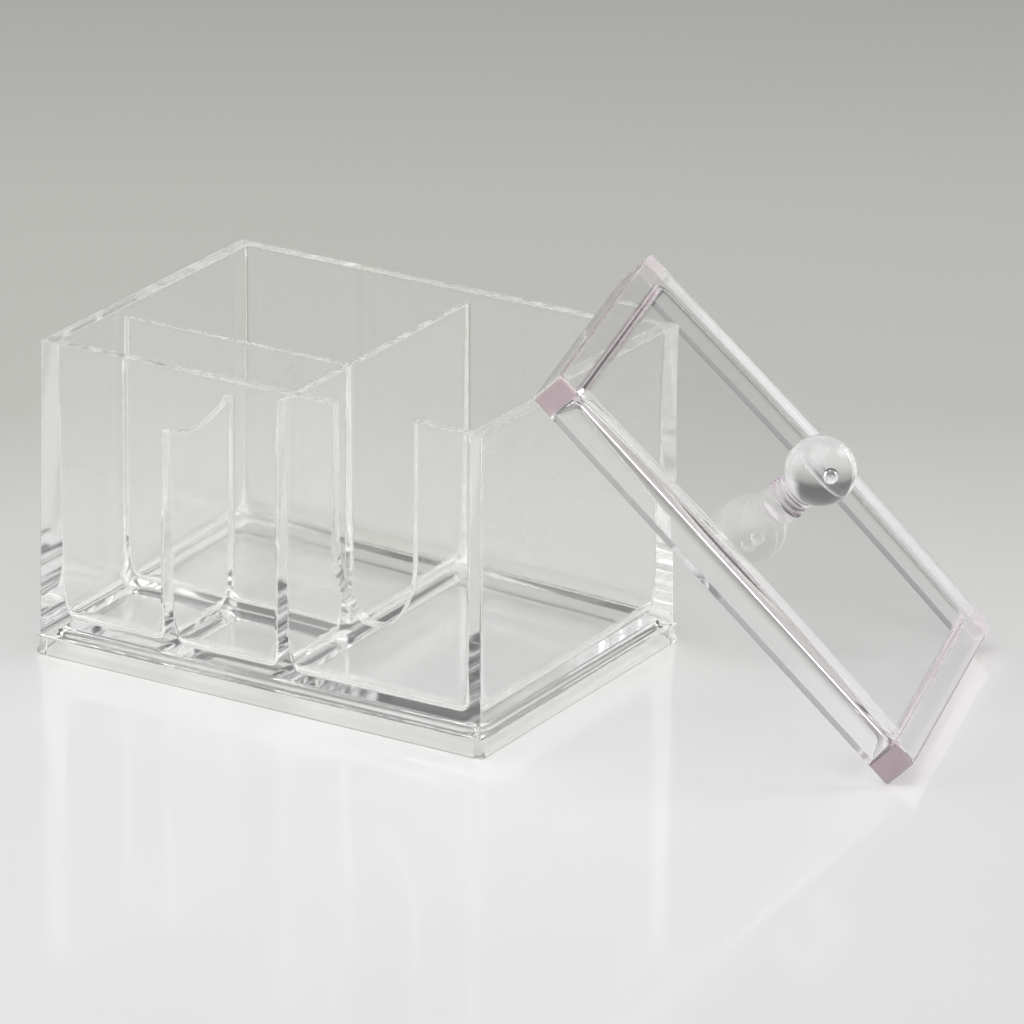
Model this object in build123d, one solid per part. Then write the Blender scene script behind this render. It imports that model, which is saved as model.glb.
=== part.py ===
"""Clear bathroom storage container: a four-compartment box on a stepped base, and its knobbed lid.

Millimetres, +Z up. The origin is the centre of the base's underside, the front wall faces -Y,
and the lid leans against the box's back right corner.
"""

from build123d import *
from math import asin, atan2, degrees, hypot, sqrt
import os

# Box, sizes at the rim
BOX_LENGTH = 180.0
BOX_DEPTH = 127.0
WALL_HEIGHT = 110.0
SIDE_WALL_T = 5.5
BACK_WALL_T = 5.0
FRONT_WALL_T = 4.0
DRAFT = 0.01  # lean of every upright face, mm sideways per mm down

# Base
BASE_T = 7.0
BASE_LEDGE = 0.6  # ledge round the foot of the walls
BASE_DRAFT = 0.2  # lean of the base's edge, mm sideways per mm down
BASE_CORNER_R = 2.0
BASE_EDGE_R = 1.0
FLOOR_RISE = 5.5  # floor above the base's ledge

# Dividers
DIVIDER_T = 2.5  # at a divider's top
DIVIDER_DROP = 4.0  # tops of the tall dividers below the rim
CROSS_DIVIDER_X = 8.0
LONG_DIVIDER_Y = -18.0
LOW_DIVIDER_X = -39.5
LOW_DIVIDER_DROP = 24.0
SCOOP_SAG = 5.0
SCOOP_END = 1.0  # level top left at each end of the scoop

# Finger notch in the front wall
NOTCH_W = 32.6
NOTCH_DEPTH = 77.5
NOTCH_ROUND_H = 26.0  # height of the half ellipse that closes the notch

# Lid
LID_END_IN = 0.5  # each end of the lid short of the box's end at the rim
LID_SIDE_OVER = 2.0  # each long side of the lid past the box's side at the rim
LID_H = 13.0
LID_PLATE_T = 4.0
END_BAR_W = 9.0
SIDE_BAR_W = 8.0

# Knob
BALL_D = 25.0
NECK_H = 7.0  # lid plate to the ball's lowest point
NECK_FOOT_D = 15.0
NECK_TOP_D = 13.0
PEG_D = 5.0
PEG_IN_BALL = 7.0
PEG_AIR = 1.0  # air left beyond the peg in the ball's bore
PEG_FIT = 0.05  # radial clearance of the peg in its bores

# Leaning lid
LEAN_TURN = 17.2
LEAN_FROM_END_BAR = 14.8  # upper end bar's inner face to the box corner, along the lid
LEAN_FROM_SIDE_BAR = 14.1  # back bar's inner face to the box corner, across the lid
REST_GAP = 0.3  # lid to box

LEDGE_Z = BASE_T
FLOOR_Z = BASE_T + FLOOR_RISE
RIM_Z = BASE_T + WALL_HEIGHT
DIVIDER_TOP_Z = RIM_Z - DIVIDER_DROP
LOW_DIVIDER_TOP_Z = RIM_Z - LOW_DIVIDER_DROP
LID_LENGTH = BOX_LENGTH - 2 * LID_END_IN
LID_WIDTH = BOX_DEPTH + 2 * LID_SIDE_OVER
LID_PLATE_Z = LID_H - LID_PLATE_T


def upright(place, way, place_z=RIM_Z):
    """Face at `place` where z is place_z, leaning `way` (-1 or +1) as it goes down."""
    return lambda z: place + way * DRAFT * (place_z - z)


def between(x_low, x_high, y_low, y_high, z_low, z_high):
    """Solid between four leaning upright faces and two levels."""
    ends = []
    for z in (z_low, z_high):
        corners = [
            (x_low(z), y_low(z), z),
            (x_high(z), y_low(z), z),
            (x_high(z), y_high(z), z),
            (x_low(z), y_high(z), z),
        ]
        ends.append(Wire.make_polygon([Vector(c) for c in corners], close=True))
    return Solid.make_loft(ends, ruled=True)


LEFT_OUT = upright(-BOX_LENGTH / 2, -1)
LEFT_IN = upright(-BOX_LENGTH / 2 + SIDE_WALL_T, 1)
RIGHT_IN = upright(BOX_LENGTH / 2 - SIDE_WALL_T, -1)
RIGHT_OUT = upright(BOX_LENGTH / 2, 1)
FRONT_OUT = upright(-BOX_DEPTH / 2, -1)
FRONT_IN = upright(-BOX_DEPTH / 2 + FRONT_WALL_T, 1)
BACK_IN = upright(BOX_DEPTH / 2 - BACK_WALL_T, -1)
BACK_OUT = upright(BOX_DEPTH / 2, 1)

CROSS_LEFT = upright(CROSS_DIVIDER_X - DIVIDER_T / 2, -1, DIVIDER_TOP_Z)
CROSS_RIGHT = upright(CROSS_DIVIDER_X + DIVIDER_T / 2, 1, DIVIDER_TOP_Z)
LONG_FRONT = upright(LONG_DIVIDER_Y - DIVIDER_T / 2, -1, DIVIDER_TOP_Z)
LONG_BACK = upright(LONG_DIVIDER_Y + DIVIDER_T / 2, 1, DIVIDER_TOP_Z)
LOW_LEFT = upright(LOW_DIVIDER_X - DIVIDER_T / 2, -1, LOW_DIVIDER_TOP_Z)
LOW_RIGHT = upright(LOW_DIVIDER_X + DIVIDER_T / 2, 1, LOW_DIVIDER_TOP_Z)


def base_plate():
    """Footed plate under the walls, wider below, with rounded corners and lower edge."""
    ends = []
    for z in (0.0, BASE_T):
        out = BASE_LEDGE + BASE_DRAFT * (BASE_T - z)
        length = RIGHT_OUT(LEDGE_Z) - LEFT_OUT(LEDGE_Z) + 2 * out
        depth = BACK_OUT(LEDGE_Z) - FRONT_OUT(LEDGE_Z) + 2 * out
        outline = RectangleRounded(length, depth, BASE_CORNER_R)
        ends.append(outline.wire().moved(Location((0, 0, z))))
    plate = Solid.make_loft(ends, ruled=True)
    lower = [e for e in plate.edges() if abs(e.center().Z) < BASE_EDGE_R / 2]
    return plate.fillet(BASE_EDGE_R, lower)


def floor_plate():
    """Raised floor that fills the foot of the walls."""
    return between(LEFT_IN, RIGHT_IN, FRONT_IN, BACK_IN, LEDGE_Z, FLOOR_Z)


def left_wall():
    """Full-depth end wall; its front end shows at the front."""
    return between(LEFT_OUT, LEFT_IN, FRONT_OUT, BACK_OUT, LEDGE_Z, RIM_Z)


def right_wall():
    """Full-depth end wall on the lid's side."""
    return between(RIGHT_IN, RIGHT_OUT, FRONT_OUT, BACK_OUT, LEDGE_Z, RIM_Z)


def back_wall():
    """Wall between the two end walls."""
    return between(LEFT_IN, RIGHT_IN, BACK_IN, BACK_OUT, LEDGE_Z, RIM_Z)


def front_wall():
    """Wall between the two end walls, notched in the middle of the right compartment."""
    wall = between(LEFT_IN, RIGHT_IN, FRONT_OUT, FRONT_IN, LEDGE_Z, RIM_Z)
    middle = (CROSS_RIGHT(DIVIDER_TOP_Z) + RIGHT_IN(RIM_Z)) / 2
    round_z = RIM_Z - NOTCH_DEPTH + NOTCH_ROUND_H
    through = 4 * FRONT_WALL_T
    front = Plane(origin=(middle, FRONT_IN(RIM_Z), round_z), x_dir=(1, 0, 0), z_dir=(0, -1, 0))
    straight_h = RIM_Z - round_z + FRONT_WALL_T
    straight = front * Pos(0, straight_h / 2) * Rectangle(NOTCH_W, straight_h)
    half_round = front * Ellipse(NOTCH_W / 2, NOTCH_ROUND_H)
    notch = extrude(straight + half_round, through, both=True)
    return (wall - notch).solid()


def cross_divider():
    """Front-to-back divider, left of the notched compartment."""
    return between(CROSS_LEFT, CROSS_RIGHT, FRONT_IN, BACK_IN, FLOOR_Z, DIVIDER_TOP_Z)


def long_divider():
    """Divider along the box, from the left wall to the cross divider."""
    return between(LEFT_IN, CROSS_LEFT, LONG_FRONT, LONG_BACK, FLOOR_Z, DIVIDER_TOP_Z)


def low_divider():
    """Low divider with a scooped top, between the front wall and the long divider."""
    wall = between(LOW_LEFT, LOW_RIGHT, FRONT_IN, LONG_FRONT, FLOOR_Z, LOW_DIVIDER_TOP_Z)
    front = FRONT_IN(LOW_DIVIDER_TOP_Z) + SCOOP_END
    back = LONG_FRONT(LOW_DIVIDER_TOP_Z) - SCOOP_END
    half_chord = (back - front) / 2
    radius = (half_chord**2 + SCOOP_SAG**2) / (2 * SCOOP_SAG)
    centre_z = LOW_DIVIDER_TOP_Z - SCOOP_SAG + radius
    place = Pos(LOW_DIVIDER_X, (front + back) / 2, centre_z) * Rot(0, 90, 0)
    scoop = place * Cylinder(radius, 4 * DIVIDER_T)
    return (wall - scoop).solid()


def block(length, width, height, x, y, z):
    """Plain block with its lowest face centred on (x, y, z)."""
    return Pos(x, y, z + height / 2) * Box(length, width, height)


def lid_end_bar(side):
    """Full-width bar under one end of the lid; its ends show at the long sides."""
    x = side * (LID_LENGTH - END_BAR_W) / 2
    return block(END_BAR_W, LID_WIDTH, LID_H, x, 0, 0)


def lid_side_bar(side):
    """Bar along one long side of the lid, between the end bars."""
    y = side * (LID_WIDTH - SIDE_BAR_W) / 2
    return block(LID_LENGTH - 2 * END_BAR_W, SIDE_BAR_W, LID_H, 0, y, 0)


def lid_plate():
    """Top plate, flush with the four bars, bored for the knob's peg."""
    length = LID_LENGTH - 2 * END_BAR_W
    width = LID_WIDTH - 2 * SIDE_BAR_W
    plate = block(length, width, LID_PLATE_T, 0, 0, LID_PLATE_Z)
    bore = Pos(0, 0, LID_H) * Cylinder(PEG_D / 2 + PEG_FIT, 3 * LID_PLATE_T)
    return (plate - bore).solid()


def seat_height():
    """Height of the ball's cut-off face, as wide as the neck's top, above its lowest point."""
    return BALL_D / 2 - sqrt((BALL_D / 2) ** 2 - (NECK_TOP_D / 2) ** 2)


def knob_neck():
    """Flared collar with one peg down through the lid plate and up into the ball."""
    top = LID_H + NECK_H + seat_height()
    collar = Solid.make_cone(
        NECK_FOOT_D / 2, NECK_TOP_D / 2, top - LID_H, Plane(origin=(0, 0, LID_H))
    )
    peg_h = top + PEG_IN_BALL - LID_PLATE_Z
    peg = Solid.make_cylinder(PEG_D / 2, peg_h, Plane(origin=(0, 0, LID_PLATE_Z)))
    return (collar + peg).solid()


def knob_ball():
    """Clear ball, cut off flat on the neck and bored for its peg."""
    centre = LID_H + NECK_H + BALL_D / 2
    seat = LID_H + NECK_H + seat_height()
    ball = Pos(0, 0, centre) * Sphere(BALL_D / 2)
    below = block(BALL_D, BALL_D, BALL_D, 0, 0, seat - BALL_D)
    bore = Solid.make_cylinder(
        PEG_D / 2 + PEG_FIT, PEG_IN_BALL + PEG_AIR, Plane(origin=(0, 0, seat))
    )
    return (ball - below - bore).solid()


def leaning():
    """Place of the lid: lower end on the table, underside on the box's back right corner.

    With the corner `along` the lid from its lower end and `down` from its underside, the lean is
    the angle at which along * sin + down * cos is the rim's height.
    """
    along = LID_LENGTH - END_BAR_W - LEAN_FROM_END_BAR
    down = LID_PLATE_Z - REST_GAP
    lean = degrees(asin(RIM_Z / hypot(along, down)) - atan2(down, along))
    turn = Rot(0, 0, LEAN_TURN) * Rot(0, lean, 0)
    across = LID_WIDTH / 2 - SIDE_BAR_W - LEAN_FROM_SIDE_BAR
    reach = (turn * Pos(LID_LENGTH / 2 - along, across, down)).position
    corner = Vector(RIGHT_OUT(RIM_Z), BACK_OUT(RIM_Z), RIM_Z)
    return Location(corner - reach) * turn


BOX_PIECES = {
    "base_plate": base_plate(),
    "floor_plate": floor_plate(),
    "left_wall": left_wall(),
    "right_wall": right_wall(),
    "back_wall": back_wall(),
    "front_wall": front_wall(),
    "cross_divider": cross_divider(),
    "long_divider": long_divider(),
    "low_divider": low_divider(),
}

LID_PIECES = {
    "lid_plate": lid_plate(),
    "lid_upper_end_bar": lid_end_bar(-1),
    "lid_lower_end_bar": lid_end_bar(1),
    "lid_front_bar": lid_side_bar(-1),
    "lid_back_bar": lid_side_bar(1),
    "knob_neck": knob_neck(),
    "knob_ball": knob_ball(),
}

os.makedirs("parts", exist_ok=True)
for name, piece in BOX_PIECES.items():
    export_step(piece, f"parts/{name}.step")
lean = leaning()
for name, piece in LID_PIECES.items():
    export_step(lean * piece, f"parts/{name}.step")
print("lid centre underside at", lean.position)
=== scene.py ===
# %% [markdown]
# # A clear storage box and its leaning lid
# The object is a box of clear acrylic with four open compartments on a stepped base, and a loose
# lid with a ball knob that leans against it. Clear plastic shows no colour of its own. What the eye
# reads is the outline of each edge, drawn by light that bends on its way through. So this lesson
# spends its effort on three things: watertight solids, small roundings on every edge, and a studio
# that gives the edges something bright and something dark to show.

# %% Load the frame
import bmesh
import bpy
import numpy as np
from mathutils import Matrix, Vector


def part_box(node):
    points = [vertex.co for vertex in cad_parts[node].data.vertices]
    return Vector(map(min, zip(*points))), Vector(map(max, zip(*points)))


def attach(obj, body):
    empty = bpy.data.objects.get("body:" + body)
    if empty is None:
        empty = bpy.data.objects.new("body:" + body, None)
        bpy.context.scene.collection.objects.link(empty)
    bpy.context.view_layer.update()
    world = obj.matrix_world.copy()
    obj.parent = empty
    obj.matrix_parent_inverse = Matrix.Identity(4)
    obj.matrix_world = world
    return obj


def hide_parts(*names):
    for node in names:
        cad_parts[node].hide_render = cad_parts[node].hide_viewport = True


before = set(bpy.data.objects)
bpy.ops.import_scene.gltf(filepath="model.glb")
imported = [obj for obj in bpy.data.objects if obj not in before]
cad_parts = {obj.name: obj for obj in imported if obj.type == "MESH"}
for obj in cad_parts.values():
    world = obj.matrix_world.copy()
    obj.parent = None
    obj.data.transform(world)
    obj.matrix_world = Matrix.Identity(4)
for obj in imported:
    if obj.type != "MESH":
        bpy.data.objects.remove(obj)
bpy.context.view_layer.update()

MM = 0.001

# %% [markdown]
# ## Sizes
# Every place comes from the frame where the frame can say it: a node's box gives the rim, the
# ledge, the floor and the tops of the dividers. The rest are sizes that a box can't tell, such as
# how much the faces lean, how round the edges are, and how the lid leans.

# %% Read the levels and name the other sizes
def low(node, axis):
    """Lowest value of a node's box along an axis, 0 to 2."""
    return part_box(node)[0][axis]


def high(node, axis):
    """Highest value of a node's box along an axis, 0 to 2."""
    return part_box(node)[1][axis]


X, Y, Z = 0, 1, 2
LEDGE = high("base_plate", Z)
FLOOR = high("floor_plate", Z)
RIM = high("left_wall", Z)
DIVIDER_TOP = high("cross_divider", Z)
LOW_TOP = high("low_divider", Z)
WALL_DRAFT = 0.01  # lean of the upright faces, sideways per height
BASE_DRAFT = 0.2  # lean of the base's edge
print(f"ledge {LEDGE:.4f}, floor {FLOOR:.4f}, dividers {DIVIDER_TOP:.4f}, rim {RIM:.4f}")

# %% [markdown]
# ## One ring, many levels
# Walls, compartments, base and lid are all the same kind of solid: a rectangle with rounded
# corners, carried up through a list of levels while its sides and its corner radius change. The
# rings are worked out as whole arrays. A box primitive with a bevel would be quicker, but its
# roundings couldn't grow towards the floor or stop at a divider.

# %% Make a solid from levels
CORNER_STEPS = 6


def ring(x_low, x_high, y_low, y_high, radius):
    """Points round a rectangle with quarter-circle corners: corner centre + radius * (cos a, sin a)."""
    angle = np.arange(4)[:, None] * np.pi / 2 + np.linspace(0, np.pi / 2, CORNER_STEPS + 1)
    centre_x = np.array([x_high - radius, x_low + radius, x_low + radius, x_high - radius])
    centre_y = np.array([y_high - radius, y_high - radius, y_low + radius, y_low + radius])
    x = centre_x[:, None] + radius * np.cos(angle)
    y = centre_y[:, None] + radius * np.sin(angle)
    return np.stack([x.ravel(), y.ravel()], axis=1)


def grid_faces(rows, columns):
    """Quads between neighbouring rows of points, joined round the columns."""
    row, column = np.meshgrid(np.arange(rows - 1), np.arange(columns), indexing="ij")
    beside = (column + 1) % columns
    quads = [row * columns + column, row * columns + beside,
             (row + 1) * columns + beside, (row + 1) * columns + column]
    return np.stack(quads, axis=-1).reshape(-1, 4)


def make_object(name, points, faces):
    """A mesh object at the origin, with its place in its points."""
    mesh = bpy.data.meshes.new(name)
    mesh.from_pydata(np.asarray(points).tolist(), [], faces)
    mesh.validate()
    made = bpy.data.objects.new(name, mesh)
    bpy.context.scene.collection.objects.link(made)
    return made


def stack(name, levels):
    """Closed solid through levels (z, x_low, x_high, y_low, y_high, radius), lowest first."""
    rings = [np.column_stack([ring(*level[1:]), np.full(4 * (CORNER_STEPS + 1), level[0])])
             for level in levels]
    points = np.concatenate(rings)
    columns = len(rings[0])
    faces = grid_faces(len(rings), columns).tolist()
    faces.append(list(range(columns))[::-1])
    faces.append(list(range(len(points) - columns, len(points))))
    return make_object(name, points, faces)


print("points in a ring:", 4 * (CORNER_STEPS + 1))

# %% [markdown]
# ## Taking away
# The compartments, the notch and the hollows are taken out of solid blocks, as a mill would do it.
# Modelling the walls one by one would be the other way, but then every corner where two walls meet
# needs its own joint. A Boolean modifier per cutter does it here. Its manifold solver is exact
# enough as long as no cutter shares a face with the block, so every cutter passes the faces it cuts.

# %% Carve with cutters
PAST = 0.02 * MM  # how far a cutter passes a face that it shouldn't share
CLEAR = 1 * MM  # how far it runs on where it is open
WELL_CLEAR = 3 * MM  # the same for the cuts that go through a wall


def carve(body, cutters):
    """Takes the cutters out of the body, one by one, and deletes them."""
    for cutter in cutters:
        step = body.modifiers.new(cutter.name, "BOOLEAN")
        step.operation = "DIFFERENCE"
        step.solver = "MANIFOLD"
        step.object = cutter
    bpy.context.view_layer.update()
    result = body.evaluated_get(bpy.context.evaluated_depsgraph_get())
    mesh = bpy.data.meshes.new_from_object(result)
    body.modifiers.clear()
    body.data = mesh
    mesh.name = body.name
    for cutter in cutters:
        bpy.data.objects.remove(cutter)
    return body


print(f"a cutter passes a face by {PAST / MM} mm")

# %% [markdown]
# ## The outside of the box
# Outside, base and walls are one stack. It starts on the table with a rounded lower edge, goes up
# the leaning edge of the base, steps in over a narrow ledge, and follows the walls to the rim. The
# quarter rounds are lists of levels too: the sine and cosine of an angle give height and inset. Two
# bevelled blocks, one on the other, would be quicker to make, but clear plastic would show the face
# between them.

# %% Build the outer block
FOOT_X = (low("left_wall", X), high("right_wall", X))
FOOT_Y = (low("left_wall", Y), high("left_wall", Y))
BASE_X = (low("base_plate", X), high("base_plate", X))
BASE_Y = (low("base_plate", Y), high("base_plate", Y))
BASE_CORNER = 2.5 * MM
BASE_EDGE = 1.5 * MM
LEDGE_EDGE = 0.6 * MM
LEDGE_FILLET = 1.0 * MM
RIM_EDGE = 0.35 * MM
WALL_CORNER = 0.5 * MM
LEDGE_LIFT = 0.01 * MM  # keeps the fillet's first level off the ledge's last one
SMALL_STEPS, ROUND_STEPS, FILLET_STEPS, LARGE_STEPS = 3, 5, 8, 10  # in a quarter turn


def quarter(steps=ROUND_STEPS):
    """Angles from 0 to a quarter turn."""
    return np.linspace(0, np.pi / 2, steps + 1)


def level(z, inset, x_span, y_span, radius):
    """One level of a stack: both spans drawn in by the inset."""
    return (z, x_span[0] + inset, x_span[1] - inset, y_span[0] + inset, y_span[1] - inset, radius)


def outer_levels():
    """Levels of the outside: rounded foot, leaning base edge, ledge with its fillet, leaning wall
    and rounded rim. A convex round goes in by radius * (1 - cos a) and up to radius * sin a."""
    levels = []
    for a in quarter():
        z = BASE_EDGE * (1 - np.cos(a))
        inset = BASE_EDGE * (1 - np.sin(a)) + BASE_DRAFT * z
        levels.append(level(z, inset, BASE_X, BASE_Y, BASE_CORNER))
    for a in quarter(SMALL_STEPS):
        z = LEDGE - LEDGE_EDGE * (1 - np.sin(a))
        inset = BASE_DRAFT * z + LEDGE_EDGE * (1 - np.cos(a))
        levels.append(level(z, inset, BASE_X, BASE_Y, BASE_CORNER))
    for a in quarter(FILLET_STEPS):
        z = LEDGE + LEDGE_FILLET * (1 - np.cos(a))
        inset = -LEDGE_FILLET * (1 - np.sin(a)) + WALL_DRAFT * (z - LEDGE)
        levels.append(level(z + LEDGE_LIFT, inset, FOOT_X, FOOT_Y, WALL_CORNER))
    for a in quarter():
        z = RIM - RIM_EDGE * (1 - np.sin(a))
        inset = WALL_DRAFT * (z - LEDGE) + RIM_EDGE * (1 - np.cos(a))
        levels.append(level(z, inset, FOOT_X, FOOT_Y, WALL_CORNER))
    return levels


box_shell = stack("box_shell", outer_levels())
print("outer block:", len(box_shell.data.vertices), "points")

# %% [markdown]
# ## The compartments
# Each compartment is a stack that is taken out of the block. From the top down its sides lean in,
# its corners open out, and it turns into the floor with a round that shows in the photograph as
# curved dark and light bands. A bevelled block could be taken out instead, but its corners would
# be as wide at the rim as at the floor. The tops of the dividers stay a little below the rim, so
# one shallow tray is taken out above them, and another above the low divider.

# %% Find the faces of the walls


def lean(node, side, axis):
    """Straight line (value at the floor, sideways per height) of one face of an upright plate."""
    foot = (low if side < 0 else high)(node, axis)
    foot_z = low(node, Z)
    return foot, foot_z, -side * WALL_DRAFT


def face_at(line, z):
    """Where a leaning face stands at height z."""
    foot, foot_z, slope = line
    return foot + slope * (z - foot_z)


LEFT_FACE = lean("left_wall", 1, X)
RIGHT_FACE = lean("right_wall", -1, X)
FRONT_FACE = lean("front_wall", 1, Y)
BACK_FACE = lean("back_wall", -1, Y)
CROSS_LEFT = lean("cross_divider", -1, X)
CROSS_RIGHT = lean("cross_divider", 1, X)
LONG_FRONT = lean("long_divider", -1, Y)
LONG_BACK = lean("long_divider", 1, Y)
LOW_LEFT = lean("low_divider", -1, X)
LOW_RIGHT = lean("low_divider", 1, X)
print(f"inside length at the floor: {RIGHT_FACE[0] - LEFT_FACE[0]:.4f}")

# %% Make the compartments' cutters
FLOOR_ROUND = 6.0 * MM
CORNER_TOP = 0.8 * MM
CORNER_FOOT = 4.0 * MM  # where the floor's round starts
CORNER_FLOOR = 2.0 * MM  # the least on the floor itself
CORNER_GROWS = 16 * MM  # height above the floor where the corners start to open out
GROW_STEPS = 5
TOP_ROUND = 0.3 * MM


def hollow(name, x_lines, y_lines, bottom, top, rounded, floor_round, top_round=TOP_ROUND):
    """Cutter between four leaning faces. `rounded` marks, as 1 or 0 for x_low, x_high, y_low and
    y_high, the sides that end in a rounded top, and the others run on past it. Rounds go in by
    radius * (1 - cos a), and the corner's radius grows with the square root of the way down."""
    lines = [*x_lines, *y_lines]
    inwards = np.array([1, -1, 1, -1])
    rounded = np.array(rounded)
    levels = []

    def add(z, inset, flare, radius):
        places = np.array([face_at(line, z) for line in lines])
        places = places + inwards * (inset + PAST * (1 - rounded) - flare * rounded)
        levels.append((z, *places, radius))

    if floor_round:
        for a in quarter(LARGE_STEPS)[::-1]:
            inset = FLOOR_ROUND * (1 - np.cos(a))
            radius = max(CORNER_FOOT - inset, CORNER_FLOOR)
            add(bottom + FLOOR_ROUND * (1 - np.sin(a)), inset, 0, radius)
        for share in np.linspace(0, 1, GROW_STEPS + 1)[1:]:
            z = bottom + FLOOR_ROUND + share * (CORNER_GROWS - FLOOR_ROUND)
            add(z, 0, 0, CORNER_FOOT + (CORNER_TOP - CORNER_FOOT) * np.sqrt(share))
    else:
        add(bottom, 0, 0, CORNER_TOP)
    for a in quarter():
        z = top + PAST - top_round * (1 - np.sin(a))
        add(z, 0, top_round * (1 - np.cos(a)), CORNER_TOP)
    add(top + CLEAR, 0, top_round, CORNER_TOP)
    return stack(name, levels)


WHOLE_Y = (FRONT_FACE, BACK_FACE)
FRONT_Y = (FRONT_FACE, LONG_FRONT)
cutters = [
    hollow("rim_tray", (LEFT_FACE, RIGHT_FACE), WHOLE_Y, DIVIDER_TOP, RIM,
           (1, 1, 1, 1), False, RIM_EDGE),
    hollow("right_hollow", (CROSS_RIGHT, RIGHT_FACE), WHOLE_Y, FLOOR, DIVIDER_TOP,
           (1, 0, 0, 0), True),
    hollow("back_hollow", (LEFT_FACE, CROSS_LEFT), (LONG_BACK, BACK_FACE), FLOOR, DIVIDER_TOP,
           (0, 1, 1, 0), True),
    hollow("front_tray", (LEFT_FACE, CROSS_LEFT), FRONT_Y, LOW_TOP, DIVIDER_TOP,
           (0, 1, 0, 1), False),
    hollow("front_left_hollow", (LEFT_FACE, LOW_LEFT), FRONT_Y, FLOOR, LOW_TOP,
           (0, 1, 0, 0), True),
    hollow("front_middle_hollow", (LOW_RIGHT, CROSS_LEFT), FRONT_Y, FLOOR, LOW_TOP,
           (1, 0, 0, 0), True),
]
print("cutters:", [cutter.name for cutter in cutters])

# %% [markdown]
# ## The hollow under the base
# Seen through its side, the base is evenly pale, where a full block of plastic would mirror the
# room in its underside. A base that is open from below, with a thin skirt round it, looks like
# that. The hollow is one more stack: in from the skirt, up, in again over a step, and up to a
# ceiling with a large round.

# %% Add the cutter for the hollow
SKIRT = 3.2 * MM
SKIRT_CORNER = 1.5 * MM
STEP_TOP = 6.0 * MM
STEP_ROUND = 0.5 * MM
HOLLOW_STEP = 5.8 * MM
HOLLOW_TOP = 10.4 * MM
HOLLOW_ROUND = 3.0 * MM
HOLLOW_CORNER = 6.0 * MM


def under_hollow():
    """Cutter of two steps under the base, each going up and in by its round * (1 - cos a)."""
    levels = [level(-CLEAR, SKIRT, BASE_X, BASE_Y, SKIRT_CORNER)]
    for inset, top, rounded, corner in ((SKIRT, STEP_TOP, STEP_ROUND, SKIRT_CORNER),
                                        (HOLLOW_STEP, HOLLOW_TOP, HOLLOW_ROUND, HOLLOW_CORNER)):
        for a in quarter(FILLET_STEPS):
            grow = rounded * (1 - np.cos(a))
            z = top - rounded * (1 - np.sin(a))
            levels.append(level(z, inset + grow, BASE_X, BASE_Y, corner - grow / 2))
    return stack("under_hollow", levels)


cutters.append(under_hollow())
print(f"plastic left between hollow and floor: {(FLOOR - HOLLOW_TOP) / MM:.1f} mm")

# %% [markdown]
# ## The finger notch and the scoop
# Both are an outline carried straight through a plate: a slot that ends in half an ellipse, and a
# shallow arc. The outline grows by a small quarter round where it comes out of each face, which
# gives the cut its polished edge, and it follows the lean of the faces. A cylinder as a cutter
# would do for the notch's round end, but it would leave the edges sharp, and a sharp edge catches
# no light.

# %% Carve the notch and the scoop
NOTCH_WIDTH = 32.6 * MM
NOTCH_DEPTH = 77.5 * MM
NOTCH_ROUND = 26 * MM
SCOOP_SAG = 5 * MM
SCOOP_END = 1 * MM
CUT_ROUND = 0.3 * MM
ARC_STEPS = 40


def through(name, near, far, outline, along):
    """Cutter through a plate: outline(grow) gives points (across, z), and `along` is the axis that
    runs through the plate, from the near leaning face to the far one. Within CUT_ROUND of a face
    the outline grows by CUT_ROUND * (1 - sin a) at a depth of CUT_ROUND * (1 - cos a)."""
    stops = [(near, -WELL_CLEAR, CUT_ROUND)]
    stops += [(near, CUT_ROUND * (1 - np.cos(a)) - PAST, CUT_ROUND * (1 - np.sin(a)))
              for a in quarter()]
    stops += [(far, PAST - CUT_ROUND * (1 - np.sin(a)), CUT_ROUND * (1 - np.cos(a)))
              for a in quarter()]
    stops += [(far, WELL_CLEAR, CUT_ROUND)]
    rings = []
    for line, offset, grow in stops:
        flat = outline(grow)
        place = face_at(line, flat[:, 1]) + offset
        parts = [place, flat[:, 0]] if along == X else [flat[:, 0], place]
        rings.append(np.column_stack([*parts, flat[:, 1]]))
    columns = len(rings[0])
    points = np.concatenate(rings)
    faces = grid_faces(len(rings), columns).tolist()
    faces.append(list(range(columns)))
    faces.append(list(range(len(points) - columns, len(points)))[::-1])
    return face_outwards(make_object(name, points, faces))


def face_outwards(solid):
    """Turns a closed solid's faces outwards."""
    shell = bmesh.new()
    shell.from_mesh(solid.data)
    bmesh.ops.recalc_face_normals(shell, faces=shell.faces)
    shell.to_mesh(solid.data)
    shell.free()
    return solid


NOTCH_MIDDLE = (face_at(CROSS_RIGHT, DIVIDER_TOP) + face_at(RIGHT_FACE, RIM)) / 2
FRONT_OUTSIDE = lean("left_wall", -1, Y)


def notch_outline(grow):
    """Slot open at the top: half width + grow, closed below by half an ellipse."""
    half = NOTCH_WIDTH / 2 + grow
    round_z = RIM - NOTCH_DEPTH + NOTCH_ROUND
    angle = np.linspace(np.pi, 2 * np.pi, ARC_STEPS + 1)
    across = np.concatenate([[-half], half * np.cos(angle), [half]])
    z = np.concatenate([[RIM + WELL_CLEAR], round_z + (NOTCH_ROUND + grow) * np.sin(angle),
                        [RIM + WELL_CLEAR]])
    return np.column_stack([NOTCH_MIDDLE + across, z])


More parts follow.
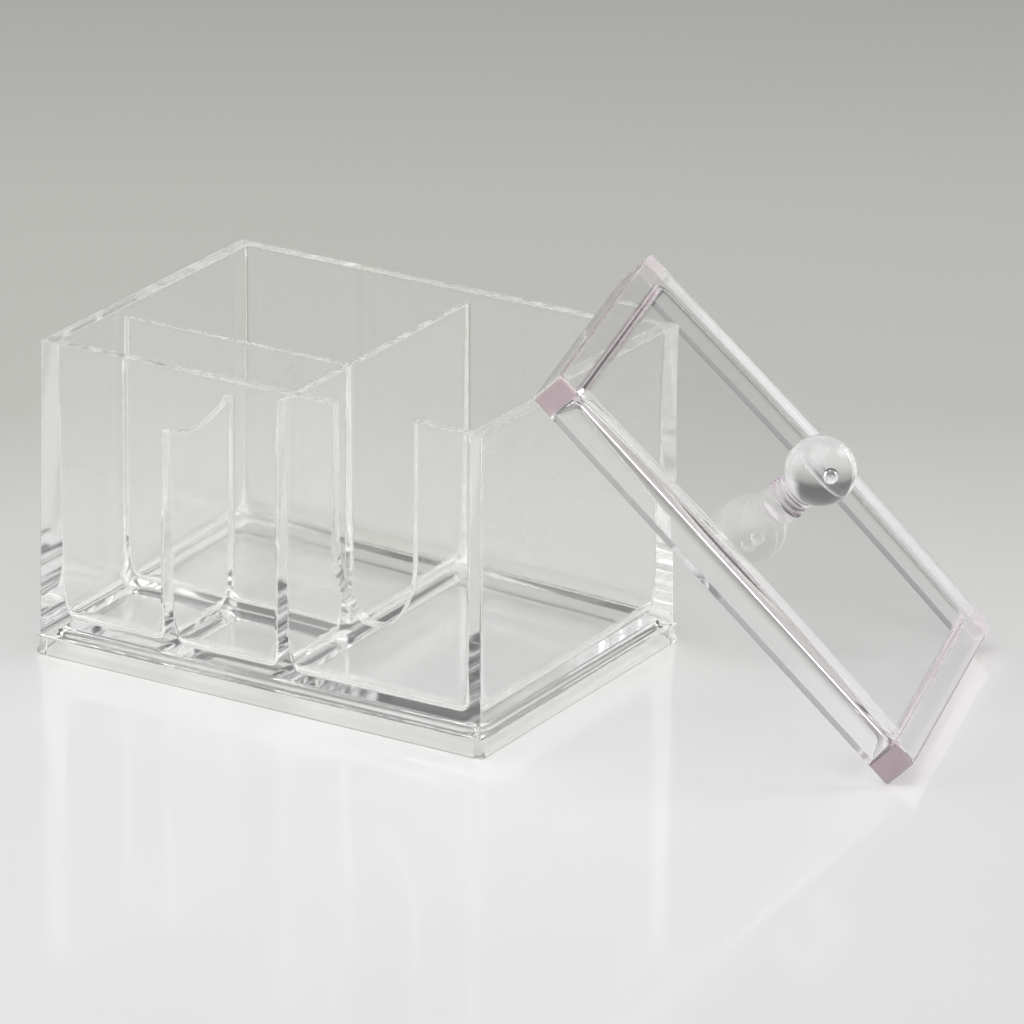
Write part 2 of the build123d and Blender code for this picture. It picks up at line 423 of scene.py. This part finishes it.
def scoop_outline(grow):
    """Arc of radius (half^2 + sag^2) / (2 sag) that ends just short of the walls, closed above."""
    front = face_at(FRONT_FACE, LOW_TOP) + SCOOP_END - grow
    back = face_at(LONG_FRONT, LOW_TOP) - SCOOP_END + grow
    half = (back - front) / 2
    sag = SCOOP_SAG + grow
    radius = (half**2 + sag**2) / (2 * sag)
    across = np.linspace(-half, half, ARC_STEPS + 1)
    z = LOW_TOP - sag + radius - np.sqrt(radius**2 - across**2)
    middle = (front + back) / 2
    across = np.concatenate([[-half], across, [half]])
    z = np.concatenate([[LOW_TOP + CLEAR], z, [LOW_TOP + CLEAR]])
    return np.column_stack([middle + across, z])


cutters.append(through("notch", FRONT_OUTSIDE, FRONT_FACE, notch_outline, Y))
cutters.append(through("scoop", LOW_LEFT, LOW_RIGHT, scoop_outline, X))
carve(box_shell, cutters)
print("box:", len(box_shell.data.vertices), "points", len(box_shell.data.polygons), "faces")

# %% [markdown]
# ## The lid
# The lid is a shallow tray turned upside down: a plate with a bar under each side. Where bars and
# plate meet inside there is a fillet, and the plate's top is slightly crowned along its length,
# which shows as a soft bow in its long edges. Leaving it flat would be simpler, but the mirror image
# of the knob in the plate would then sit too far from the knob. The lid is made upright, in a
# frame of its own, as two stacks, one taken out of the other.

# %% Shape the lid
LID_LENGTH = 179 * MM
LID_WIDTH = 131 * MM
LID_HEIGHT = 13 * MM
PLATE = 4 * MM
END_BAR = 9 * MM
SIDE_BAR = 8 * MM
LID_EDGE = 1.2 * MM
LID_FOOT_EDGE = 0.15 * MM
LID_FILLET = 3.5 * MM
LID_CORNER = 1.4 * MM
LID_CROWN = 2.5 * MM
CROWN_SLICES = 48
SLICE_REACH = 1e-7  # how near a point counts as on the slice


def lid_block():
    """Outer block of the lid, rounded below by LID_FOOT_EDGE and above by LID_EDGE: a quarter
    round goes radius * (1 - cos a) one way and radius * (1 - sin a) the other."""
    span_x = (-LID_LENGTH / 2, LID_LENGTH / 2)
    span_y = (-LID_WIDTH / 2, LID_WIDTH / 2)
    levels = []
    for a in quarter(SMALL_STEPS):
        inset = LID_FOOT_EDGE * (1 - np.sin(a))
        z = LID_FOOT_EDGE * (1 - np.cos(a))
        levels.append(level(z, inset, span_x, span_y, LID_CORNER))
    for a in quarter(FILLET_STEPS):
        inset = LID_EDGE * (1 - np.cos(a))
        z = LID_HEIGHT - LID_EDGE * (1 - np.sin(a))
        levels.append(level(z, inset, span_x, span_y, LID_CORNER))
    return stack("lid_shell", levels)


def lid_hollow():
    """Cutter for the hollow between the bars, with the same quarter rounds at the bars' feet and
    a larger one, the fillet, under the plate."""
    span_x = (-LID_LENGTH / 2 + END_BAR, LID_LENGTH / 2 - END_BAR)
    span_y = (-LID_WIDTH / 2 + SIDE_BAR, LID_WIDTH / 2 - SIDE_BAR)
    levels = [level(-CLEAR, -LID_FOOT_EDGE, span_x, span_y, LID_CORNER)]
    for a in quarter(SMALL_STEPS)[::-1]:
        inset = -LID_FOOT_EDGE * (1 - np.cos(a))
        z = LID_FOOT_EDGE * (1 - np.sin(a)) - PAST
        levels.append(level(z, inset, span_x, span_y, LID_CORNER))
    for a in quarter(LARGE_STEPS):
        inset = LID_FILLET * (1 - np.cos(a))
        z = LID_HEIGHT - PLATE - LID_FILLET * (1 - np.sin(a))
        levels.append(level(z, inset, span_x, span_y, LID_FILLET + LID_CORNER - inset))
    return stack("lid_hollow", levels)


def crown(made):
    """Slices the lid across its length and lifts its top by LID_CROWN * (1 - (2 x / length)^2)."""
    shell = bmesh.new()
    shell.from_mesh(made.data)
    for place in (np.arange(1, CROWN_SLICES) / CROWN_SLICES - 0.5) * LID_LENGTH:
        bmesh.ops.bisect_plane(shell, geom=[*shell.verts, *shell.edges, *shell.faces],
                               dist=SLICE_REACH, plane_co=(place, 0, 0), plane_no=(1, 0, 0))
    shell.to_mesh(made.data)
    shell.free()
    points = np.empty(3 * len(made.data.vertices))
    made.data.vertices.foreach_get("co", points)
    points = points.reshape(-1, 3)
    share = np.clip((points[:, 2] - (LID_HEIGHT - PLATE)) / (PLATE - LID_EDGE), 0, 1)
    points[:, 2] += share * LID_CROWN * (1 - (2 * points[:, 0] / LID_LENGTH)**2)
    made.data.vertices.foreach_set("co", points.ravel())
    made.data.update()
    return made


lid_shell = crown(carve(lid_block(), [lid_hollow()]))
print("lid:", len(lid_shell.data.vertices), "points")

# %% [markdown]
# ## How the lid leans
# The lean isn't guessed: it follows from the two things that the lid touches. Its lower end
# stands on the table and the box's corner touches the underside of its plate. With that corner
# `along` the lid and `down` from its underside, along * sin + down * cos is the rim's height, which
# gives the lean. The points themselves are turned and moved, because a finished piece keeps its
# object at the origin.

# %% Work out the lean
LEAN_TURN = np.radians(17.2)
LEAN_FROM_END_BAR = 14.8 * MM
REST_GAP = 0.3 * MM


def turn_about(axis, angle):
    """Rotation matrix about one axis, as an array."""
    return np.array(Matrix.Rotation(angle, 3, axis))


ALONG = LID_LENGTH - END_BAR - LEAN_FROM_END_BAR
DOWN = LID_HEIGHT - PLATE - REST_GAP
LEAN = np.arcsin(RIM / np.hypot(ALONG, DOWN)) - np.arctan2(DOWN, ALONG)
LID_TURN = turn_about("Z", LEAN_TURN) @ turn_about("Y", LEAN)
PLATE_CENTRE = (np.array(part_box("lid_plate")[0]) + np.array(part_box("lid_plate")[1])) / 2
LID_PLACE = PLATE_CENTRE - LID_TURN @ np.array([0, 0, LID_HEIGHT - PLATE / 2])
print(f"lean {np.degrees(LEAN):.2f} degrees, lid centre {LID_PLACE.round(4)}")


def lean_over(made):
    """Moves a lid piece's points to where the lid leans, each to turn @ point + place."""
    points = np.empty(3 * len(made.data.vertices))
    made.data.vertices.foreach_get("co", points)
    points = points.reshape(-1, 3) @ LID_TURN.T + LID_PLACE
    made.data.vertices.foreach_set("co", points.ravel())
    made.data.update()
    return made


# %% [markdown]
# ## The knob
# A turned knob is a profile carried once round an axis. The profile runs up the neck, which is
# flared at its foot and has three faint rings, in at the groove where the ball sits, and over the
# ball to its top. Near the ball's middle lies a small air bubble: a sphere whose faces look into
# the bubble, since that is the side with air. A ready-made sphere and cylinder would need a
# Boolean where they meet, and the profile needs none.

# %% Turn the knob
BALL_RADIUS = 12.5 * MM
NECK_HEIGHT = 7 * MM
NECK_FOOT = 7.5 * MM
NECK_TOP = 6.8 * MM
NECK_FLARE = 0.5 * MM
FLARE_PART = 5  # the flare takes one part in this many of the neck
NECK_BEADS = 3
BEAD_STEPS = 12
BEAD_DEPTH = 0.4 * MM
SEAT_SINK = 0.03 * MM  # how far the neck's foot reaches into the lid
BALL_STEPS = 96
TURN_STEPS = 160
BUBBLE_RADIUS = 1.85 * MM
BUBBLE_STEPS = 48
BUBBLE_PLACE = (2.5 * MM, 0.8 * MM, 0.5 * MM)  # from the ball's centre


def knob_profile():
    """Points (radius, height) from the neck's foot to the ball's top. The neck's radius is a
    straight taper + flare * (1 - sin) at its foot + rings as |sin|, and the ball a circle."""
    foot = LID_HEIGHT + LID_CROWN - SEAT_SINK
    centre = LID_HEIGHT + NECK_HEIGHT + BALL_RADIUS
    seat = np.arcsin(NECK_TOP / BALL_RADIUS)
    seat_z = centre - BALL_RADIUS * np.cos(seat)
    rise = np.linspace(0, 1, BEAD_STEPS * NECK_BEADS + 1)
    radius = NECK_TOP + (NECK_FOOT - NECK_TOP) * (1 - rise)
    radius = radius + NECK_FLARE * (1 - np.sin(np.pi / 2 * np.clip(rise * FLARE_PART, 0, 1)))
    radius = radius + BEAD_DEPTH * (np.abs(np.sin(np.pi * NECK_BEADS * rise)) - 0.5)
    neck = np.column_stack([radius, foot + (seat_z - foot) * rise])
    angle = np.linspace(seat, np.pi, BALL_STEPS + 1)[1:]
    ball = np.column_stack([BALL_RADIUS * np.sin(angle), centre - BALL_RADIUS * np.cos(angle)])
    return np.concatenate([neck, ball[:-1]]), centre


def turned(name, profile, top_z, steps=TURN_STEPS):
    """Solid of a profile (radius, height) carried round Z, as (radius * cos a, radius * sin a,
    height), closed by a flat foot and a pole."""
    angle = np.linspace(0, 2 * np.pi, steps, endpoint=False)
    radius, height = profile[:, :1], profile[:, 1:]
    points = np.stack([radius * np.cos(angle), radius * np.sin(angle),
                       np.broadcast_to(height, (len(profile), steps))], axis=-1).reshape(-1, 3)
    pole = len(points)
    points = np.vstack([points, [[0, 0, top_z]]])
    faces = grid_faces(len(profile), steps).tolist()
    last = np.arange(pole - steps, pole)
    faces += np.column_stack([last, np.roll(last, -1), np.full(steps, pole)]).tolist()
    faces.append(list(range(steps))[::-1])
    return make_object(name, points, faces)


def add_bubble(made, centre, radius, steps=BUBBLE_STEPS):
    """Adds a sphere to the mesh whose faces look inwards, into the air it holds."""
    shell = bmesh.new()
    shell.from_mesh(made.data)
    solid_faces = len(shell.faces)
    bmesh.ops.create_uvsphere(shell, u_segments=steps, v_segments=steps // 2, radius=radius,
                              matrix=Matrix.Translation(centre))
    shell.faces.ensure_lookup_table()
    bmesh.ops.reverse_faces(shell, faces=shell.faces[solid_faces:])
    shell.to_mesh(made.data)
    shell.free()


profile, ball_centre = knob_profile()
knob = turned("knob", profile, ball_centre + BALL_RADIUS)
add_bubble(knob, Vector(BUBBLE_PLACE) + Vector((0, 0, ball_centre)), BUBBLE_RADIUS)
print("knob:", len(knob.data.vertices), "points")

# %% [markdown]
# ## Flat faces and smooth rounds
# On clear plastic every shading mistake shows twice, in the mirror image and in what is seen
# through it. Smooth shading over a whole piece would bend the plane faces, and flat shading would
# make steps of the rounds. So each face is judged by where it looks: along an axis, or along the
# slope of the base, it is plane and stays flat. The crowned top is smooth within itself, with
# sharp edges towards the rest.

# %% Shade the pieces and lean the lid over
FLAT_COSINE = 0.9997
TOP_COSINE = 0.99
TOP_FACE_AREA = 4 * LID_EDGE**2  # the top's faces are larger than this, and its rounds' smaller


def shade(made, also_flat=()):
    """Keeps plane faces flat and the rounds smooth. A face is plane where its normal lies along
    an axis, or along a slope, with a cosine of more than FLAT_COSINE."""
    normals = np.empty(3 * len(made.data.polygons))
    made.data.polygons.foreach_get("normal", normals)
    normals = np.abs(normals.reshape(-1, 3))
    flat = normals.max(axis=1) > FLAT_COSINE
    for slope in also_flat:
        flat |= normals @ np.abs(slope) > FLAT_COSINE
    made.data.polygons.foreach_set("use_smooth", ~flat)


def shade_crowned(made):
    """Plane faces flat, rounds smooth, and the crowned top smooth within itself."""
    shade(made)
    top = np.empty(3 * len(made.data.polygons))
    made.data.polygons.foreach_get("normal", top)
    area = np.empty(len(made.data.polygons))
    made.data.polygons.foreach_get("area", area)
    top = (top[2::3] > TOP_COSINE) & (area > TOP_FACE_AREA)
    smooth = np.empty(len(made.data.polygons), bool)
    made.data.polygons.foreach_get("use_smooth", smooth)
    made.data.polygons.foreach_set("use_smooth", smooth | top)
    shell = bmesh.new()
    shell.from_mesh(made.data)
    shell.faces.ensure_lookup_table()
    for edge in shell.edges:
        beside = [top[face.index] for face in edge.link_faces]
        edge.smooth = all(beside) or not any(beside)
    shell.to_mesh(made.data)
    shell.free()


base_normal = np.array([1, 0, BASE_DRAFT]) / np.hypot(1, BASE_DRAFT)
shade(box_shell, also_flat=(base_normal, base_normal[[1, 0, 2]]))
shade_crowned(lid_shell)
knob.data.polygons.foreach_set("use_smooth", np.ones(len(knob.data.polygons), bool))
knob_foot = knob.data.polygons[len(profile) * TURN_STEPS]
knob_foot.use_smooth = False
for piece in (lid_shell, knob):
    lean_over(piece)
print("lid:", len(lid_shell.data.polygons), "faces; knob:", len(knob.data.polygons), "faces")

# %% [markdown]
# ## Shader arithmetic
# Node trees get long quickly. Each node and link could be made by itself, but the sums would be
# lost among them. One small class wraps a socket and answers to Python's operators, so that a mask
# reads as a line of arithmetic.

# %% Wrap a socket
class Tone:
    """A socket of a node tree that can be added, multiplied and so on."""

    def __init__(self, tree, socket=None):
        self.tree = tree
        self.socket = socket

    def node(self, kind, settings=None, inputs=None, out=0):
        """Any node: its type, its settings first, then the values or links of its sockets."""
        made = self.tree.nodes.new(kind)
        for name, value in (settings or {}).items():
            setattr(made, name, value)
        for name, value in (inputs or {}).items():
            if isinstance(value, Tone):
                self.tree.links.new(value.socket, made.inputs[name])
            elif value is not None:
                made.inputs[name].default_value = value
        return Tone(self.tree, made.outputs[out] if len(made.outputs) else None)

    def maths(self, operation, first, second=None):
        """One Math node."""
        return self.node("ShaderNodeMath", {"operation": operation}, {0: first, 1: second})

    def __add__(self, other):
        return self.maths("ADD", self, other)

    __radd__ = __add__

    def __mul__(self, other):
        return self.maths("MULTIPLY", self, other)

    __rmul__ = __mul__

    def dot(self, way):
        """Dot product of this vector and a fixed one."""
        return self.node("ShaderNodeVectorMath", {"operation": "DOT_PRODUCT"},
                         {0: self, 1: way}, out=1)

    def ramp(self, low_in, high_in, low_out=0.0, high_out=1.0):
        """Maps a range onto another, in a straight line and clamped."""
        return self.node("ShaderNodeMapRange", {"interpolation_type": "LINEAR"},
                         {"Value": self, "From Min": low_in, "From Max": high_in,
                          "To Min": low_out, "To Max": high_out})

    def mix(self, first, second):
        """Colour between two colours, by this value."""
        return self.node("ShaderNodeMix", {"data_type": "RGBA"},
                         {0: self, 6: first, 7: second}, out=2)


def new_material(name):
    """An empty node material: (material, starting Tone, output node)."""
    material = bpy.data.materials.new(name)
    material.use_nodes = True
    material.node_tree.nodes.clear()
    output = material.node_tree.nodes.new("ShaderNodeOutputMaterial")
    return material, Tone(material.node_tree), output


def grey(value):
    """Opaque grey colour."""
    return (value, value, value, 1)


print("a Tone can: + * maths dot ramp mix")

# %% [markdown]
# ## The lid's sawn ends
# The lid's end bars run its full width, so their cut ends lie bare at its four corners. A sawn end
# is satin, not polished, and the photograph shows each as an even, faintly mauve square. A second
# material on those faces would do it. A mask does it without touching the mesh: the distance along
# and across the lid tells where the cut ends are.

# %% Tell the sawn ends from the rest
SAWN_ROUGHNESS = 0.5
SAWN_COLOUR = (1, 0.84, 0.91, 1)
END_MARGIN = (0.3 * MM, 0.1 * MM)  # the mask starts and is full this far inside the end face


def sawn_ends(tone, place):
    """1 on the cut ends of the lid's end bars and 0 elsewhere, told by the lid's own x and y."""
    local = tone.node("ShaderNodeVectorMath", {"operation": "SUBTRACT"},
                      {0: place, 1: tuple(LID_PLACE)})
    along = local.dot(tuple(LID_TURN[:, X]))
    across = local.dot(tuple(LID_TURN[:, Y]))
    bar_start = LID_LENGTH / 2 - END_BAR
    bar = along.maths("ABSOLUTE", along).ramp(bar_start, bar_start + PAST)
    end = across.maths("ABSOLUTE", across).ramp(*(LID_WIDTH / 2 - margin for margin in END_MARGIN))
    return bar * end


print(f"sawn ends start {(LID_WIDTH / 2 - END_MARGIN[0]) / MM:.1f} mm from the lid's middle")

# %% [markdown]
# ## Clear acrylic
# Acrylic bends light by 1.49, and light that runs the long way through an edge picks up a faint
# tint: green in the box, pink in the lid. That depth colour is volume absorption, so a thin wall
# stays clear and a long bar shows it. A tint on the surface would colour thin and thick alike. The
# surface isn't perfect either. Handling leaves a haze that varies over a few centimetres and some
# fine wipe marks, both kept to the roughness and to a very shallow bump. The box also has a faint
# satin all over: light that is mirrored dozens of times inside a wall then smears, as it does in
# real sheet, instead of drawing sharp black and white dashes in the wall's end.

# %% Make the acrylic
ACRYLIC_IOR = 1.49
SMEARS_PER_M = 28.0
SMEAR_RANGE = (0.3, 0.7)
WIPES_PER_M = (40.0, 900.0, 300.0)
WIPES_TURN = (0.3, 0.5, 0.6)
WIPE_RANGE = (0.62, 0.8)
SWELLS_PER_M = 18.0


def acrylic(name, tint, density, haze, wave, satin=0.0, sawn=False):
    """Clear plastic: depth tint, even satin + smears and wipes of haze, and wavy faces."""
    material, tone, output = new_material(name)
    place = tone.node("ShaderNodeTexCoord", out=3)
    smear = tone.node("ShaderNodeTexNoise", None,
                      {"Vector": place, "Scale": SMEARS_PER_M, "Detail": 3.0, "Roughness": 0.6})
    drawn_out = tone.node("ShaderNodeMapping", None,
                          {"Vector": place, "Scale": WIPES_PER_M, "Rotation": WIPES_TURN})
    wipes = tone.node("ShaderNodeTexNoise", None, {"Vector": drawn_out, "Scale": 1.0, "Detail": 2.0})
    roughness = smear.ramp(*SMEAR_RANGE, satin, satin + haze) + wipes.ramp(*WIPE_RANGE, 0.0, haze)
    colour = grey(1)
    if sawn:
        ends = sawn_ends(tone, place)
        roughness = roughness + ends * SAWN_ROUGHNESS
        colour = ends.mix(colour, SAWN_COLOUR)
    swell = tone.node("ShaderNodeTexNoise", None,
                      {"Vector": place, "Scale": SWELLS_PER_M, "Detail": 1.0})
    bump = tone.node("ShaderNodeBump", None,
                     {"Height": swell, "Strength": 1.0, "Distance": wave})
    shader = tone.node("ShaderNodeBsdfPrincipled", None,
                       {"Base Color": colour, "Roughness": roughness, "Normal": bump,
                        "IOR": ACRYLIC_IOR, "Transmission Weight": 1.0})
    depth = tone.node("ShaderNodeVolumeAbsorption", None, {"Color": (*tint, 1), "Density": density})
    material.node_tree.links.new(shader.socket, output.inputs["Surface"])
    material.node_tree.links.new(depth.socket, output.inputs["Volume"])
    return material


box_acrylic = acrylic("box_acrylic", tint=(0.9, 0.94, 0.84), density=0.7, haze=0.015,
                      wave=0.0004 * MM, satin=0.035)
lid_acrylic = acrylic("lid_acrylic", tint=(0.72, 0.35, 0.45), density=1.1, haze=0.015,
                      wave=0.0002 * MM, sawn=True)
knob_acrylic = acrylic("knob_acrylic", tint=(0.9, 0.8, 0.9), density=1.0, haze=0.01,
                       wave=0.0002 * MM)
for piece, material in ((box_shell, box_acrylic), (lid_shell, lid_acrylic), (knob, knob_acrylic)):
    piece.data.materials.clear()
    piece.data.materials.append(material)
    print(piece.name, "is made of", material.name)

# %% [markdown]
# ## What stands for what
# Each of the three pieces stands for the plates and parts that it is made up of. In the frame those
# stay apart. Here they can't: two clear solids that only touch would show a mirror where they meet,
# and a bonded seam in acrylic shows none. Box and lid ride on their own bodies, so the lid with its
# knob can be lifted off.

# %% Tie the pieces to the frame
BOX_NODES = ("base_plate", "floor_plate", "left_wall", "right_wall", "back_wall", "front_wall",
             "cross_divider", "long_divider", "low_divider")
LID_NODES = ("lid_plate", "lid_upper_end_bar", "lid_lower_end_bar", "lid_front_bar",
             "lid_back_bar")
KNOB_NODES = ("knob_neck", "knob_ball")
for piece, body, slot, nodes in ((box_shell, "box", "box_acrylic", BOX_NODES),
                                 (lid_shell, "lid", "lid_acrylic", LID_NODES),
                                 (knob, "lid", "knob_acrylic", KNOB_NODES)):
    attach(piece, body)
    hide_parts(*nodes)
    print(piece.name, "rides on", body)

# %% [markdown]
# ## The studio
# The photograph is a plain sweep: a pale, slightly glossy floor that greys off towards the back and
# a little towards the right. A real floor under one soft lamp does that by itself, but with light
# from all round it doesn't, so the grey is painted shade in the floor's colour, along two directions.

# %% Make the floor
CAMERA_HEADING = np.radians(31.48)
RIGHTWARDS = (np.cos(CAMERA_HEADING), np.sin(CAMERA_HEADING), 0)
AWAY = (-np.sin(CAMERA_HEADING), np.cos(CAMERA_HEADING), 0)
FLOOR_SINK = 0.02 * MM  # the floor meets the base's foot with no film of air between
FLOOR_REACH = 6.0
FLOOR_NEAR = grey(0.93)
# painted shade: the far, right and beyond colours grey the floor where lamp light would fall off
FLOOR_FAR_SHADE = (0.66, 0.66, 0.62, 1)
NEAR_TO_FAR = (-0.07, 0.24)  # metres behind the box's middle, or to its right
FLOOR_RIGHT_SHADE = grey(0.45)
LEFT_TO_RIGHT = (-0.15, 0.35)
RIGHT_SHARE = 0.16
FLOOR_BEYOND_SHADE = (0.42, 0.42, 0.4, 1)
FAR_TO_BEYOND = (0.5, 1.3)
FLOOR_MOTTLE = (0.6, 0.6, 0.62, 1)
MOTTLES_PER_M = 9.0
MOTTLE_RANGE = (0.3, 0.7)
MOTTLE_SHARE = 0.04
FLOOR_ROUGHNESS = (0.08, 0.12)
FLOOR_IOR = 1.45


def floor_material():
    """Pale satin floor with painted shade: greyer near to far, towards the right and beyond."""
    material, tone, output = new_material("pale_floor")
    place = tone.node("ShaderNodeTexCoord", out=3)
    away = place.dot(AWAY)
    right = place.dot(RIGHTWARDS)
    mottle = tone.node("ShaderNodeTexNoise", None,
                       {"Vector": place, "Scale": MOTTLES_PER_M, "Detail": 2.0})
    # painted shade: the colour greys towards the back, then the right, then beyond the picture
    colour = away.ramp(*NEAR_TO_FAR).mix(FLOOR_NEAR, FLOOR_FAR_SHADE)
    colour = right.ramp(*LEFT_TO_RIGHT, 0.0, RIGHT_SHARE).mix(colour, FLOOR_RIGHT_SHADE)
    colour = away.ramp(*FAR_TO_BEYOND).mix(colour, FLOOR_BEYOND_SHADE)
    colour = (mottle * MOTTLE_SHARE).mix(colour, FLOOR_MOTTLE)
    roughness = mottle.ramp(*MOTTLE_RANGE, *FLOOR_ROUGHNESS)
    shader = tone.node("ShaderNodeBsdfPrincipled", None,
                       {"Base Color": colour, "Roughness": roughness, "IOR": FLOOR_IOR})
    material.node_tree.links.new(shader.socket, output.inputs["Surface"])
    return material


floor = make_object("floor", [(-FLOOR_REACH, -FLOOR_REACH, FLOOR_SINK),
                              (FLOOR_REACH, -FLOOR_REACH, FLOOR_SINK),
                              (FLOOR_REACH, FLOOR_REACH, FLOOR_SINK),
                              (-FLOOR_REACH, FLOOR_REACH, FLOOR_SINK)], [(0, 1, 2, 3)])
floor.data.materials.append(floor_material())
print("floor:", 2 * FLOOR_REACH, "m square")

# %% [markdown]
# ## The room
# Clear plastic mirrors and bends everything round it, so the room matters as much as the floor. In
# the photograph the knob and the bars show an even pale room with something dark behind the object
# and something bright at its left. Black and white cards round the table are how a photographer
# would do it. Here the world does it: a pale tent, with a dark opening and a glow that are round
# patches about a direction, their edges given as cosines from the middle.

# %% Make the room
DARK_WAY = (150, 20)  # heading and height above the table, in degrees
DARK_EDGE = (0.34, 0.54)
GLOW_WAY = (204, 22)
GLOW_EDGE = (0.87, 0.97)
TENT = 0.74  # brightness, where 1 is white
OPENING = 0.12
GLOW = 2.0


def direction(heading, height):
    """Unit vector (cos h * cos a, cos h * sin a, sin h) for a heading a and a height h above the
    table, both in degrees."""
    heading, height = np.radians(heading), np.radians(height)
    return (np.cos(height) * np.cos(heading), np.cos(height) * np.sin(heading), np.sin(height))


def room():
    """World: an even pale tent with a soft glow on the left and a dark opening behind the object."""
    world = bpy.data.worlds.new("room")
    bpy.context.scene.world = world
    world.use_nodes = True
    world.node_tree.nodes.clear()
    output = world.node_tree.nodes.new("ShaderNodeOutputWorld")
    tone = Tone(world.node_tree)
    way = tone.node("ShaderNodeTexCoord", out=0)
    colour = way.dot(direction(*DARK_WAY)).ramp(*DARK_EDGE).mix(grey(TENT), grey(OPENING))
    colour = way.dot(direction(*GLOW_WAY)).ramp(*GLOW_EDGE).mix(colour, grey(GLOW))
    background = tone.node("ShaderNodeBackground", None, {"Color": colour, "Strength": 1.0})
    world.node_tree.links.new(background.socket, output.inputs["Surface"])


room()
print("room: tent", TENT, "opening", OPENING, "glow", GLOW)

# %% [markdown]
# ## Two soft boxes
# A large soft box overhead gives the floor its light and the ball its pale top, and a small one
# from the right draws thin highlights along the bars. Point lamps would give hard sparks and hard
# caustic light instead. The camera doesn't see the lamps themselves.

# %% Hang the lamps
LAMP_AIM = Vector((0.06, 0.0, 0.03))
LAMP_DISTANCE = 1.3


def soft_lamp(name, heading, height, size, power):
    """Square soft box that looks at the object from a heading and a height, in degrees."""
    data = bpy.data.lights.new(name, "AREA")
    data.shape = "RECTANGLE"
    data.size = data.size_y = size
    data.energy = power
    way = Vector(direction(heading, height))
    lamp = bpy.data.objects.new(name, data)
    lamp.visible_camera = False
    lamp.location = LAMP_AIM + way * LAMP_DISTANCE
    lamp.rotation_euler = way.to_track_quat("Z", "Y").to_euler()
    bpy.context.scene.collection.objects.link(lamp)


soft_lamp("right_box", heading=43, height=38, size=0.42, power=1.2)
soft_lamp("top_box", heading=278, height=83, size=1.2, power=7)
print("lamps:", [lamp.name for lamp in bpy.data.lights])

# %% [markdown]
# ## The camera
# The camera stands where the photograph was taken from: far away, with a long lens, so the box
# shows almost no perspective. Turning the view by eye gets near, but never fits box and lid at
# once, so its place and turn come from matching the corners of both.

# %% Place the camera
CAMERA_PLACE = Vector((1.579, -2.475, 1.170))
CAMERA_DOWN = np.radians(20.86)
CAMERA_ROLL = np.radians(0.37)
CAMERA_LENS = 315.2
CAMERA_SENSOR = 36
CAMERA_SIGHT = 100  # metres
camera_data = bpy.data.cameras.new("camera")
camera_data.lens = CAMERA_LENS
camera_data.sensor_width = CAMERA_SENSOR
camera_data.clip_end = CAMERA_SIGHT
camera = bpy.data.objects.new("camera", camera_data)
turn = (Matrix.Rotation(CAMERA_HEADING, 3, "Z") @ Matrix.Rotation(np.pi / 2 - CAMERA_DOWN, 3, "X")
        @ Matrix.Rotation(CAMERA_ROLL, 3, "Z"))
camera.matrix_world = Matrix.Translation(CAMERA_PLACE) @ turn.to_4x4()
bpy.context.scene.collection.objects.link(camera)
bpy.context.scene.camera = camera
print(f"camera {CAMERA_PLACE.length:.2f} m away, lens {CAMERA_LENS} mm")

# %% [markdown]
# ## Light paths
# A ray may cross a dozen walls and be mirrored many times inside one of them. With the usual limit
# it would end as black, so the limits are raised, and the softening that Cycles gives to repeated
# reflections is off.

# %% Finish
LIGHT_BOUNCES = 128
scene = bpy.context.scene
scene.view_settings.view_transform = "Standard"
scene.cycles.max_bounces = LIGHT_BOUNCES
scene.cycles.transmission_bounces = LIGHT_BOUNCES
scene.cycles.glossy_bounces = LIGHT_BOUNCES
scene.cycles.blur_glossy = 0.0
bpy.context.view_layer.update()
